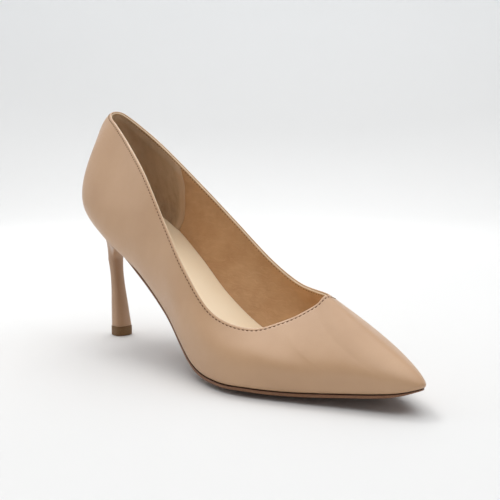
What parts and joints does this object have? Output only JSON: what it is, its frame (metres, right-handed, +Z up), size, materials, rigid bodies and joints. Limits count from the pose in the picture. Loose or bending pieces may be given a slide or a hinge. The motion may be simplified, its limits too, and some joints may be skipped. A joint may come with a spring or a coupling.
{
  "type": "high heel pump",
  "caption": "Pointed toe leather court shoe on a slim, leather covered high heel with a hard rubber top lift; right foot.",
  "frame": {"origin": "on the ground, under the middle of the shoe's length and width", "axes": "+X runs from the heel to the toe, +Y to the inner side of the foot, +Z up"},
  "size_m": [0.2434, 0.0812, 0.1409],
  "materials": {
    "upper": "smooth nude calf leather",
    "lining": "tan lining leather",
    "heel_grip": "brown suede",
    "toe_puff": "thermoplastic stiffener sheet",
    "heel_counter": "thermoplastic stiffener sheet",
    "topline_tape": "woven reinforcing tape",
    "topline_thread": "twisted thread",
    "insole_board": "cellulose insole board",
    "shank_board": "stiff fibreboard",
    "shank_spring": "spring steel",
    "shank_rivets": "zinc plated",
    "bottom_filler": "felt",
    "sock_foam": "latex foam",
    "sock_lining": "cream leather",
    "outsole": "resin rubber sheet with a waxed edge",
    "heel_block": "moulded ABS",
    "heel_cover": "smooth nude leather, thinned",
    "heel_tube": "rolled steel tube",
    "heel_nails": "bright wire",
    "heel_screw": "zinc plated",
    "top_lift": "hard polyurethane rubber",
    "top_lift_pin": "steel"
  },
  "bodies": {
    "root": {"upper": "upper", "lining": "lining", "heel_grip": "heel_grip", "toe_puff": "toe_puff", "heel_counter": "heel_counter", "topline_tape": "topline_tape", "topline_thread": "topline_thread", "insole_board": "insole_board", "shank_board": "shank_board", "shank_spring": "shank_spring", "shank_rivets": "shank_rivets", "bottom_filler": "bottom_filler", "sock_foam": "sock_foam", "sock_lining": "sock_lining", "outsole": "outsole", "heel_block": "heel_block", "heel_cover": "heel_cover", "heel_tube": "heel_tube", "heel_nails": "heel_nails", "heel_screw": "heel_screw", "top_lift": "top_lift", "top_lift_pin": "top_lift_pin"}
  },
  "joints": []
}
